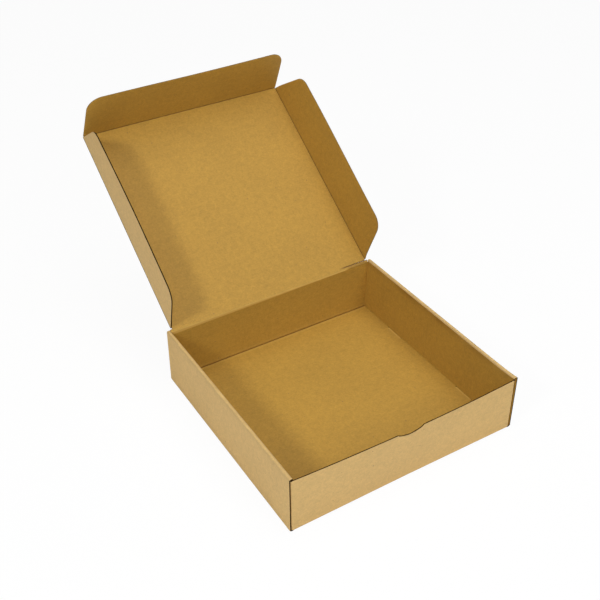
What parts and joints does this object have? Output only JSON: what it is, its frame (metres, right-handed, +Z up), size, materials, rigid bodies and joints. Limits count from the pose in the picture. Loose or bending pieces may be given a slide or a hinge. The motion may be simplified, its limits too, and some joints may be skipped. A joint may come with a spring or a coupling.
{
  "type": "corrugated mailer box",
  "caption": "Folded kraft corrugated mailer box with rolled double side walls, a thumb cut in its front wall, and a hinged lid with a tuck flap and dust flaps.",
  "frame": {"origin": "centre of the tray's underside, on the surface that it stands on", "axes": "+Z up, -Y to the front wall with the thumb cut, +X to the right side wall, the lid hinged along the back wall at +Y"},
  "size_m": [0.3168, 0.5601, 0.3165],
  "materials": {
    "kraft_board": "matt unprinted kraft paper liners over fine fluting, darker brown at the cut edges"
  },
  "bodies": {
    "tray": {"tray": "kraft_board"},
    "lid": {"lid": "kraft_board"},
    "tuck_flap": {"tuck_flap": "kraft_board"},
    "left_dust_flap": {"left_dust_flap": "kraft_board"},
    "right_dust_flap": {"right_dust_flap": "kraft_board"}
  },
  "joints": [
    {"name": "lid_hinge", "type": "hinge", "parent": "tray", "child": "lid", "pos_m": [0, 0.15325, 0.07675], "axis": [-1, 0, 0], "range_deg": [-145, 49]},
    {"name": "tuck_flap_fold", "type": "hinge", "parent": "lid", "child": "tuck_flap", "pos_m": [0, 0.40145, 0.25054], "axis": [-1, 0, 0], "range_deg": [-16.6, 82.5]},
    {"name": "left_dust_flap_fold", "type": "hinge", "parent": "lid", "child": "left_dust_flap", "pos_m": [-0.1512, 0.15325, 0.07675], "axis": [0, -0.8192, -0.5736], "range_deg": [-9.1, 87.5]},
    {"name": "right_dust_flap_fold", "type": "hinge", "parent": "lid", "child": "right_dust_flap", "pos_m": [0.1512, 0.15325, 0.07675], "axis": [0, 0.8192, 0.5736], "range_deg": [-12.6, 84]}
  ],
  "couplings": [
    {"joint": "tuck_flap_fold", "follows": "lid_hinge", "ratio": 0.11379},
    {"joint": "left_dust_flap_fold", "follows": "lid_hinge", "ratio": 0.06207},
    {"joint": "right_dust_flap_fold", "follows": "lid_hinge", "ratio": 0.08621}
  ]
}
